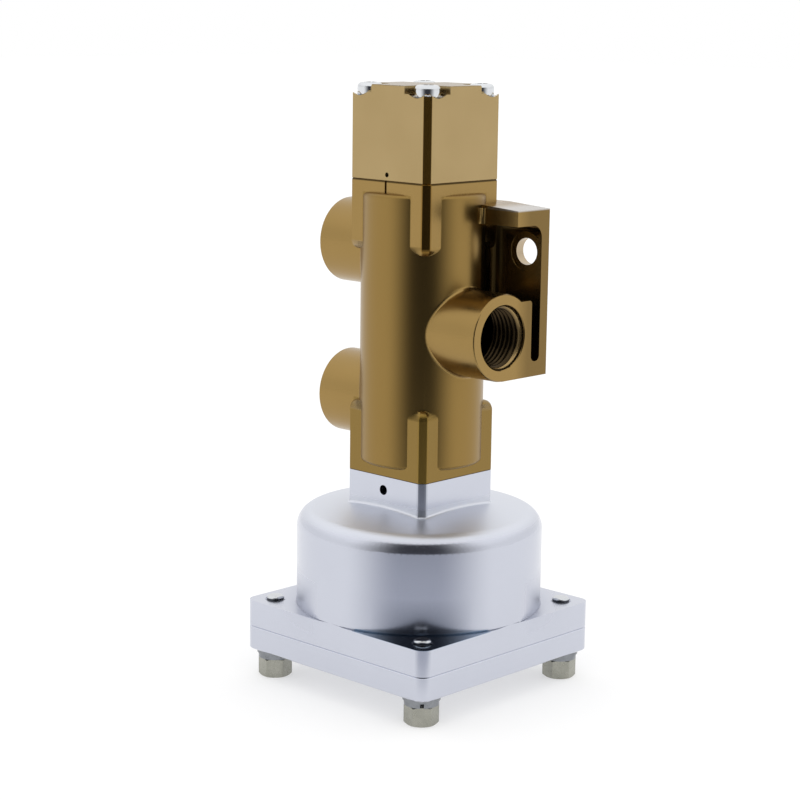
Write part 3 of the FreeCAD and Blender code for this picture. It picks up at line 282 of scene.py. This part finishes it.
capMarks = [
    # painted shade on the top, between the screw wells: darker than the rest of the cap
    {"low": (-1, -1, 0.2036), "high": (1, 1, 1), "soft": 0.0002, "colour": "8A7652", "strength": 0.9},
    # painted reflection on the chamfer of the front corner, darker than the plain finish
    {"low": (0.0158, -0.0186, 0.17), "high": (0.0186, -0.0158, 0.21), "soft": 0.0005, "colour": "8E6A28",
     "strength": 0.95},
    # painted highlight, near white, in the screw wells where they break out through the sides
    {"fold": True, "low": (-1, -1, 0.1965), "high": (0.01785, 0.01785, 0.2012), "across": (1, 1, 0),
     "axis": (0.013, 0.013, 0), "radius": 0.0056, "colour": "E6E8EC", "strength": 0.95, "soft": 0.0001},
]
drumFootFinish = {"across": (1, 1, 0), "axis": (0, 0, 0), "radius": 0.0505, "soft": 0.007, "colour": "C6C9D4",
                  "strength": 1.0, "roughness": 0.4}
drumMarks = [
    # the drum's turned top, duller than its side, and lighter with a painted highlight
    {"low": (-1, -1, 0.0572), "high": (1, 1, 0.0658), "across": (1, 1, 0), "axis": (0, 0, 0), "radius": 0.043,
     "soft": 0.0025, "colour": "D8DBE3", "strength": 1.0, "roughness": 0.44},
    # the drum's foot at both sides, duller too
    {"low": (-1, -1, 0.0195), "high": (-0.006, 1, 0.042), **drumFootFinish},
    {"low": (-1, 0.006, 0.0195), "high": (1, 1, 0.042), **drumFootFinish},
    # the shade at the drum's foot over the front corner
    {"low": (-1, -1, 0.017), "high": (1, 1, 0.0395), "across": (1, 1, 0), "axis": (0.024, -0.024, 0),
     "radius": 0.0175, "soft": 0.009, "colour": "5E6572", "strength": 0.62},
    # the flange's top at the front corner: polished, with a darker, bluer painted reflection
    {"low": (0.01, -1, 0.02695), "high": (1, -0.01, 0.0276), "soft": 0.0001, "colour": "98A9BD",
     "strength": 1.0, "roughness": 0.13},
    # painted reflection on the chamfer of the neck's front corner, darker than the plain finish
    {"low": (0.0152, -0.0186, 0.062), "high": (0.0186, -0.0152, 0.075), "soft": 0.0009, "colour": "6E7482",
     "strength": 0.4},
]
studMarks = [
    # painted shade on the thread where it leaves the flange
    {"low": (-1, -1, 0.026), "high": (1, 1, 0.0278), "soft": 0.0002, "colour": "2C2F34", "strength": 0.92},
]
screwMarks = [
    # painted shade in the sockets of the cap screws
    {"fold": True, "low": (-1, -1, 0.2012), "high": (1, 1, 0.2046), "across": (1, 1, 0),
     "axis": (0.013, 0.013, 0), "radius": 0.0022, "soft": 0.0001, "colour": "1E2229", "strength": 0.92},
]
threadMarks = [
    # a lighter bronze at the mouth of the front port, where the thread's painted shade ends
    {"low": (0.0338, -1, -1), "high": (1, 1, 1), "soft": 0.0006, "colour": "A48A5C", "strength": 0.9},
]

# scales are per metre: the grain of 900 is 1.1 mm wide, coarser than the real one, which is too fine to show; a
# stretch of 7 along the turned axis sets its turning marks 0.16 mm apart. A cloud of 30 is 33 mm wide
metalSettings = {
    # satin bronze anodising on milled aluminium: a dyed mirror with a soft blur
    "bronze": {"dark": "957A48", "light": "9F8350", "cloudScale": 30, "grainStretch": (1, 1, 7),
               "grainScale": 900, "roughness": 0.26, "roughSpread": 0.012, "bump": 0.015, "bumpDepth": 0.00001,
               "metallic": 1.0, "marks": bronzeMarks},
    # the same finish on the end cap, a shade paler
    "paleBronze": {"dark": "A58E62", "light": "B0996D", "cloudScale": 60, "grainStretch": (1, 1, 1),
                   "grainScale": 900, "roughness": 0.26, "roughSpread": 0.008, "bump": 0.008,
                   "bumpDepth": 0.00001, "metallic": 0.95, "marks": capMarks},
    # cut thread in the ports, painted dark for the shade inside the bores: only its crests catch the light
    "threadMetalPaintedShade": {"dark": "2B2216", "light": "4A3C26", "cloudScale": 300, "grainStretch": (1, 1, 1),
                    "grainScale": 1500, "roughness": 0.24, "roughSpread": 0.03, "bump": 0.05,
                    "bumpDepth": 0.00001, "metallic": 0.92, "marks": threadMarks},
    # satin clear anodising on turned aluminium: a cool silver with soft reflections
    "silver": {"dark": "C3C6D1", "light": "CDD0DB", "cloudScale": 25, "grainStretch": (1, 1, 8),
               "grainScale": 900, "roughness": 0.2, "roughSpread": 0.012, "bump": 0.012, "bumpDepth": 0.00001,
               "metallic": 1.0, "marks": drumMarks},
    # dull nickel plating on the flange nuts: a warm grey, slightly uneven
    "nickel": {"dark": "8E8E84", "light": "AFAEA4", "cloudScale": 220, "grainStretch": (1, 1, 1),
               "grainScale": 1500, "roughness": 0.3, "roughSpread": 0.06, "bump": 0.25, "bumpDepth": 0.00003,
               "metallic": 1.0},
    # zinc plating on the washers, duller than on the screws, and painted darker for the shade between the nuts
    # and the plate
    "dullWasherZincPaintedShade": {"dark": "73767A", "light": "9A9DA1", "cloudScale": 300, "grainStretch": (1, 1, 1),
                   "grainScale": 1500, "roughness": 0.24, "roughSpread": 0.05, "bump": 0.15,
                   "bumpDepth": 0.00002, "metallic": 1.0},
    # zinc plating on the studs: bright domed ends over a thread with painted shade
    "studZinc": {"dark": "C0C3C7", "light": "DCDEE1", "cloudScale": 200, "grainStretch": (1, 1, 1),
                 "grainScale": 1500, "roughness": 0.16, "roughSpread": 0.04, "bump": 0.1,
                 "bumpDepth": 0.00002, "metallic": 1.0, "marks": studMarks},
    # bright zinc plating on the screws: almost a mirror
    "zinc": {"dark": "C9CCD0", "light": "E2E4E6", "cloudScale": 200, "grainStretch": (1, 1, 1),
             "grainScale": 1500, "roughness": 0.11, "roughSpread": 0.03, "bump": 0.1, "bumpDepth": 0.00002,
             "metallic": 1.0, "marks": screwMarks},
    # ground stainless steel inside: bright, with fine rings
    "steel": {"dark": "B9BBBD", "light": "CFD1D2", "cloudScale": 100, "grainStretch": (1, 1, 12),
              "grainScale": 900, "roughness": 0.2, "roughSpread": 0.04, "bump": 0.1, "bumpDepth": 0.00001,
              "metallic": 1.0},
    # oiled spring wire: a dark grey with a wet shine
    "spring": {"dark": "6F7074", "light": "8B8C90", "cloudScale": 150, "grainStretch": (1, 1, 1),
               "grainScale": 1200, "roughness": 0.25, "roughSpread": 0.05, "bump": 0.1, "bumpDepth": 0.00002,
               "metallic": 1.0},
    # turned brass cages and bushes: yellow, with fine rings
    "brass": {"dark": "B48F45", "light": "C9A65A", "cloudScale": 80, "grainStretch": (1, 1, 10),
              "grainScale": 800, "roughness": 0.25, "roughSpread": 0.05, "bump": 0.15, "bumpDepth": 0.00002,
              "metallic": 1.0},
}
# detail of the two noises, and the part of a noise's range that holds nearly all of its values
noiseSettings = {"cloudDetail": 3.0, "grainDetail": 4.0, "low": 0.3, "high": 0.7}


# a mask that is 1 in a box, or in the part of a cylinder that lies in the box, and fades over its soft edge
def maskOf(tree, place, mark):
    low, high, soft = Vector(mark["low"]), Vector(mark["high"]), mark.get("soft", usualSoft)
    if mark.get("fold"):
        place = addNode(tree, "ShaderNodeVectorMath", {"operation": "ABSOLUTE"}, i0=place).outputs[0]
    away = addNode(tree, "ShaderNodeVectorMath", {"operation": "SUBTRACT"}, i0=place, i1=(low + high) / 2)
    size = addNode(tree, "ShaderNodeVectorMath", {"operation": "ABSOLUTE"}, i0=away.outputs[0])
    over = addNode(tree, "ShaderNodeVectorMath", {"operation": "SUBTRACT"}, i0=size.outputs[0],
                   i1=(high - low) / 2)
    parts = addNode(tree, "ShaderNodeSeparateXYZ", Vector=over.outputs[0])
    wide = addNode(tree, "ShaderNodeMath", {"operation": "MAXIMUM"}, i0=parts.outputs[0], i1=parts.outputs[1])
    most = addNode(tree, "ShaderNodeMath", {"operation": "MAXIMUM"}, i0=wide.outputs[0], i1=parts.outputs[2])
    inside = addNode(tree, "ShaderNodeMapRange", Value=most.outputs[0], From_Min=-soft, From_Max=0.0,
                     To_Min=1.0, To_Max=0.0)
    if "radius" not in mark:
        return inside.outputs[0]
    flat = addNode(tree, "ShaderNodeVectorMath", {"operation": "MULTIPLY"}, i0=place, i1=mark["across"])
    reach = addNode(tree, "ShaderNodeVectorMath", {"operation": "DISTANCE"}, i0=flat.outputs[0],
                    i1=mark["axis"])
    near = addNode(tree, "ShaderNodeMapRange", Value=reach.outputs["Value"], From_Min=mark["radius"] - soft,
                   From_Max=mark["radius"], To_Min=1.0, To_Max=0.0)
    both = addNode(tree, "ShaderNodeMath", {"operation": "MULTIPLY"}, i0=inside.outputs[0], i1=near.outputs[0])
    return both.outputs[0]


# anodised or plated metal: a cloudy colour, its marks, and a fine grain in roughness and bump
def makeMetal(name, s):
    noise = noiseSettings
    material, tree = newMaterial(name)
    coords = addNode(tree, "ShaderNodeTexCoord")
    place = coords.outputs["Object"]
    cloud = addNode(tree, "ShaderNodeTexNoise", Vector=place, Scale=s["cloudScale"],
                    Detail=noise["cloudDetail"])
    colour = addNode(tree, "ShaderNodeMix", {"data_type": "RGBA"}, i0=cloud.outputs["Fac"],
                     i6=srgb(s["dark"]), i7=srgb(s["light"]))
    dulled = []
    for mark in s.get("marks", []):
        share = addNode(tree, "ShaderNodeMath", {"operation": "MULTIPLY"}, i0=maskOf(tree, place, mark),
                        i1=mark["strength"])
        colour = addNode(tree, "ShaderNodeMix", {"data_type": "RGBA"}, i0=share.outputs[0],
                         i6=colour.outputs[2], i7=srgb(mark["colour"]))
        if "roughness" in mark:
            dulled.append((share.outputs[0], mark["roughness"]))
    stretch = addNode(tree, "ShaderNodeMapping", Vector=place, Scale=s["grainStretch"])
    grain = addNode(tree, "ShaderNodeTexNoise", Vector=stretch.outputs[0], Scale=s["grainScale"],
                    Detail=noise["grainDetail"])
    rough = addNode(tree, "ShaderNodeMapRange", Value=grain.outputs["Fac"], From_Min=noise["low"],
                    From_Max=noise["high"], To_Min=s["roughness"] - s["roughSpread"],
                    To_Max=s["roughness"] + s["roughSpread"])
    roughness = rough.outputs[0]
    for share, level in dulled:
        roughness = addNode(tree, "ShaderNodeMix", i0=share, i2=roughness, i3=level).outputs[0]
    bump = addNode(tree, "ShaderNodeBump", Strength=s["bump"], Distance=s["bumpDepth"],
                   Height=grain.outputs["Fac"])
    shader = addNode(tree, "ShaderNodeBsdfPrincipled", Base_Color=colour.outputs[2], Roughness=roughness,
                     Metallic=s["metallic"], Normal=bump.outputs[0])
    finishMaterial(tree, shader)
    return material


# moulded nitrile rubber of the seals and the diaphragm: matt black with a fine speck of 1.1 mm
rubberSettings = {"dark": "141414", "light": "222222", "speckScale": 900, "speckDetail": 2.0, "bump": 0.3,
                  "bumpDepth": 0.00005, "roughness": 0.62}


def makeRubber(name, s):
    material, tree = newMaterial(name)
    coords = addNode(tree, "ShaderNodeTexCoord")
    speck = addNode(tree, "ShaderNodeTexNoise", Vector=coords.outputs["Object"], Scale=s["speckScale"],
                    Detail=s["speckDetail"])
    colour = addNode(tree, "ShaderNodeMix", {"data_type": "RGBA"}, i0=speck.outputs["Fac"],
                     i6=srgb(s["dark"]), i7=srgb(s["light"]))
    bump = addNode(tree, "ShaderNodeBump", Strength=s["bump"], Distance=s["bumpDepth"],
                   Height=speck.outputs["Fac"])
    shader = addNode(tree, "ShaderNodeBsdfPrincipled", Base_Color=colour.outputs[2], Roughness=s["roughness"],
                     Normal=bump.outputs[0])
    finishMaterial(tree, shader)
    return material


# the metal of each node; the nodes that aren't named here are rubber
finishes = {
    "valve_body": "bronze", "end_cap": "paleBronze", "diaphragm_housing": "silver", "bottom_cover": "silver",
    "upper_plate": "silver", "lower_plate": "silver", "flange_nuts": "nickel", "flat_washers": "dullWasherZincPaintedShade",
    "lock_washers": "dullWasherZincPaintedShade", "cap_screws": "zinc", "housing_screws": "zinc", "clamp_screw": "zinc",
    "flange_studs": "studZinc", "spool": "steel", "push_rod": "steel", "spring_follower": "steel",
    "return_spring": "spring", "lower_cage": "brass", "middle_cage": "brass", "upper_cage": "brass",
    "lower_bush": "brass", "upper_bush": "brass",
}

# a face is square to an axis when the largest part of its normal is over this
squareFrom = 0.9999998
# corners of the square ends: distance from the axis and half width in metres, how far the shading turns towards
# the sides, and how far a facet may be from upright, from the diagonal and from that distance
cornerSettings = {"reach": 0.0341 / 2 ** 0.5, "half": 0.00134,
                  "turn": {"valve_body": 0.15, "end_cap": 0.15, "diaphragm_housing": 0.35},
                  "upright": 1e-4, "diagonal": 2e-3, "within": 5e-5}
# the large round faces of a node: a point of the axis, the axis, the radius, all in metres
roundFaces = {
    "valve_body": [((0, 0, 0), (0, 0, 1), 0.021), ((0, 0, 0.1232), (1, 0, 0), 0.0145),
                   ((0, 0, 0.14965), (1, 0, 0), 0.0145), ((0, 0, 0.09675), (1, 0, 0), 0.0145),
                   ((0.0295, 0, 0.1496), (0, 1, 0), 0.0045)],
    "diaphragm_housing": [((0, 0, 0), (0, 0, 1), 0.0421)],
}
# how far a round face's points may be from its radius, how squarely its facets have to face out from its axis,
# and the shortest length that is divided by
roundSettings = {"within": 4e-5, "facing": 0.97, "shortest": 1e-9}
# noses of the body's corner lands: rounding, its middle's height with its direction, the column's radius, the
# angle from a corner to the end of its land, half the width of the square, and what a share may be out by
noseSettings = {"radius": 0.0032, "heights": ((0.0947, 1), (0.1523, -1)), "column": 0.0211, "spread": 14.0,
                "square": 0.0181, "within": 0.001}
# the small root round the drum's foot: lowest and highest point, inner and outer radius, and the height of a
# facet's normal below which it stands and above which it lies flat
rootSettings = {"low": 0.02705, "high": 0.02815, "inner": 0.04209, "outer": 0.04325, "stands": 0.7,
                "flat": 0.995}


# a corner's normal turns towards the sides in step with the distance from the corner's middle, as if rounded
def shadeCorners(normals, place, flat, turn, s):
    upright = np.abs(flat[:, 2]) < s["upright"]
    diagonal = np.abs(np.abs(flat[:, 0]) - np.abs(flat[:, 1])) < s["diagonal"]
    reach = np.einsum("fci,fi->fc", place, flat)
    atCorner = upright & diagonal & (np.abs(reach - s["reach"]) < s["within"]).all(1)
    ahead = flat[atCorner][:, None, :]
    aside = np.cross([0, 0, 1], ahead)
    share = np.clip((place[atCorner] * aside).sum(2) / s["half"], -1, 1)
    angle = (share * math.pi / 4 * turn)[:, :, None]
    normals[atCorner] = ahead * np.cos(angle) + aside * np.sin(angle)


# a round face's normal is the point's direction away from the axis, with the facet's sign
def shadeRound(normals, place, flat, middle, axis, radius, s):
    along = np.array(axis, dtype=float)
    away = place - middle
    away = away - (away @ along)[:, :, None] * along
    reach = np.linalg.norm(away, axis=2)
    away = away / np.maximum(reach, s["shortest"])[:, :, None]
    side = np.einsum("fi,fci->fc", flat, away)
    onFace = (np.abs(reach - radius) < s["within"]).all(1) & (np.abs(side) > s["facing"]).all(1)
    normals[onFace] = away[onFace] * np.sign(side[onFace])[:, :, None]


# a nose's normal has a height of its rise / rounding, as on a ball, and turns as it rises from the facet's
# direction to the ball's, which goes from the one side to the other over the width of the land
def shadeNoses(normals, place, flat, s):
    reach = np.hypot(place[:, :, 0], place[:, :, 1])
    onLand = (reach > s["column"]).all(1) & (np.abs(place[:, :, :2]) < s["square"]).all((1, 2))
    for height, way in s["heights"]:
        rise = (place[:, :, 2] - height) * way / s["radius"]
        onNose = onLand & ((rise > -s["within"]) & (rise < 1 + s["within"])).all(1)
        onNose &= flat[:, 2] * way > s["within"]
        spot, rise = place[onNose], np.clip(rise[onNose], 0, 1)
        angle = np.arctan2(spot[:, :, 1], spot[:, :, 0])
        corner = (np.round(angle / (math.pi / 2) - 0.5) + 0.5) * math.pi / 2
        wanted = corner + np.clip((angle - corner) / math.radians(s["spread"]), -1, 1) * math.pi / 4
        facing = np.arctan2(flat[onNose][:, 1], flat[onNose][:, 0])[:, None]
        angle = facing + ((wanted - facing + math.pi) % (2 * math.pi) - math.pi) * rise
        level = np.sqrt(1 - rise ** 2)
        normals[onNose] = np.stack([level * np.cos(angle), level * np.sin(angle), rise * way], 2)


# the root shades with the drum where its facets stand, and with the flange's top where they lean
def shadeRoot(normals, place, flat, s):
    reach = np.hypot(place[:, :, 0], place[:, :, 1])
    within = (place[:, :, 2] > s["low"]) & (place[:, :, 2] < s["high"])
    within &= (reach > s["inner"]) & (reach < s["outer"])
    onRoot = within.all(1) & (np.abs(flat[:, 2]) < s["flat"])
    standing = onRoot & (np.abs(flat[:, 2]) < s["stands"])
    normals[onRoot] = (0, 0, 1)
    normals[standing] = place[standing] * (1, 1, 0) / reach[standing][:, :, None]


# true normals of a merged node, one to each corner of a facet: a face square to an axis has the facet's own,
# and the corners, the round faces, the noses and the root have those of their real form
def trueNormals(mesh, name):
    points = np.empty(len(mesh.vertices) * 3)
    mesh.vertices.foreach_get("co", points)
    corners = np.empty(len(mesh.loops), dtype=np.int32)
    mesh.loops.foreach_get("vertex_index", corners)
    flat = np.empty(len(mesh.polygons) * 3)
    mesh.polygons.foreach_get("normal", flat)
    normals = np.empty(len(mesh.loops) * 3)
    mesh.corner_normals.foreach_get("vector", normals)
    place = points.reshape(-1, 3)[corners.reshape(-1, 3)]
    flat = flat.reshape(-1, 3)
    normals = normals.reshape(-1, 3, 3)
    square = np.abs(flat).max(1) > squareFrom
    normals[square] = flat[square][:, None, :]
    if name in cornerSettings["turn"]:
        shadeCorners(normals, place, flat, cornerSettings["turn"][name], cornerSettings)
    for middle, axis, radius in roundFaces.get(name, []):
        shadeRound(normals, place, flat, middle, axis, radius, roundSettings)
    if name == "valve_body":
        shadeNoses(normals, place, flat, noseSettings)
    if name == "diaphragm_housing":
        shadeRoot(normals, place, flat, rootSettings)
    mesh.normals_split_custom_set(normals.reshape(-1, 3).tolist())


# how near the points of a node lie that are merged, in metres, the angle of its sharp edges in degrees, and the
# weight that large faces have in its normals
copySettings = {"mergeWithin": 2e-6, "sharpAngle": 28, "faceWeight": 100}


# a copy of a CAD node with its triangles joined, so that its round faces shade smoothly; the return spring's
# copy gets a mesh of its own
def smoothCopy(name, s):
    source = nodes[name]
    mesh = source.data.copy()
    bm = bmesh.new()
    bm.from_mesh(mesh)
    bmesh.ops.remove_doubles(bm, verts=bm.verts, dist=s["mergeWithin"])
    bm.to_mesh(mesh)
    bm.free()
    mesh.shade_smooth()
    mesh.set_sharp_from_angle(angle=math.radians(s["sharpAngle"]))
    obj = bpy.data.objects.new(name + "_smooth", mesh)
    scene.collection.objects.link(obj)
    weighted = obj.modifiers.new("faces", "WEIGHTED_NORMAL")
    weighted.keep_sharp = True
    weighted.weight = s["faceWeight"]
    ready = obj.evaluated_get(bpy.context.evaluated_depsgraph_get())
    obj.data = bpy.data.meshes.new_from_object(ready)
    obj.modifiers.clear()
    trueNormals(obj.data, name)
    obj.data.name = name + "_smooth"
    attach(obj, source["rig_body"])
    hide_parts(name)
    if name == "return_spring":
        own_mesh(obj)
    return obj


# internal pipe threads, in metres: root radius, depth, pitch and length of a 1/2 inch one, then each port's
# mouth, its way in and its finish
halfInch = {"root": 0.01047, "depth": 0.00112, "pitch": 0.001814, "length": 0.0135, "finish": "threadMetalPaintedShade"}
threadSettings = {
    "front_port_thread": {"mouth": (0.0354, 0, 0.1232), "inward": (-1, 0, 0), **halfInch},
    "upper_port_thread": {"mouth": (-0.0345, 0, 0.14965), "inward": (1, 0, 0), **halfInch},
    "lower_port_thread": {"mouth": (-0.0345, 0, 0.09675), "inward": (1, 0, 0), **halfInch},
    "pilot_port_thread": {"mouth": (0, 0, 0.0103), "inward": (0, 0, 1), "root": 0.00485, "depth": 0.0006,
                          "pitch": 0.00094, "length": 0.0056, "finish": "silver"},
}
# points round a thread and along one pitch, how much steeper its ridge is than the plain wave, and by how much
# of the depth the wave is lowered to widen its root
ridgeSettings = {"around": 96, "alongPitch": 12, "steeper": 1.25, "lower": 0.1}


# a thread's wall: a cylinder of the root radius, less the depth times a ridge. The ridge is a triangle wave of
# distance / pitch + turn / full turn with its crest cut off, and it fades out over one pitch at either end
def makeThread(name, s, ridge, material):
    around, along = ridge["around"], int(s["length"] / s["pitch"] * ridge["alongPitch"])
    turn, depth = np.meshgrid(np.linspace(0, 2 * np.pi, around, endpoint=False),
                              np.linspace(0, s["length"], along))
    wave = 1 - np.abs(2 * ((depth / s["pitch"] + turn / (2 * np.pi)) % 1) - 1)
    fade = np.clip(np.minimum(depth, s["length"] - depth) / s["pitch"], 0, 1)
    radius = s["root"] - s["depth"] * np.clip(wave * ridge["steeper"] - ridge["lower"], 0, 1) * fade
    inward = np.array(s["inward"], dtype=float)
    side = np.cross(inward, [0, 1, 0] if inward[1] == 0 else [1, 0, 0])
    other = np.cross(inward, side)
    points = (np.array(s["mouth"]) + depth[..., None] * inward + (radius * np.cos(turn))[..., None] * side
              + (radius * np.sin(turn))[..., None] * other).reshape(-1, 3)
    row, column = np.meshgrid(np.arange(along - 1), np.arange(around), indexing="ij")
    nextColumn = (column + 1) % around
    faces = np.stack([row * around + column, (row + 1) * around + column, (row + 1) * around + nextColumn,
                      row * around + nextColumn], -1).reshape(-1, 4)
    mesh = bpy.data.meshes.new(name)
    mesh.from_pydata(points.tolist(), [], faces.tolist())
    mesh.shade_smooth()
    mesh.materials.append(material)
    obj = bpy.data.objects.new(name, mesh)
    scene.collection.objects.link(obj)
    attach(obj, "valve")
    return obj


makeCamera(cameraSettings)
makeWorld(worldSettings)
makeDarkScreen(screenSettings)
makeFloor(floorSettings)
print("stage done")

metals = {name: makeMetal(name, s) for name, s in metalSettings.items()}
rubber = makeRubber("rubber", rubberSettings)
for name in sorted(nodes):
    piece = smoothCopy(name, copySettings)
    piece.data.materials.clear()
    piece.data.materials.append(metals[finishes[name]] if name in finishes else rubber)
print("pieces done")

for name, s in threadSettings.items():
    makeThread(name, s, ridgeSettings, metals[s["finish"]])
print("threads done")

scene.view_settings.view_transform = "Standard"
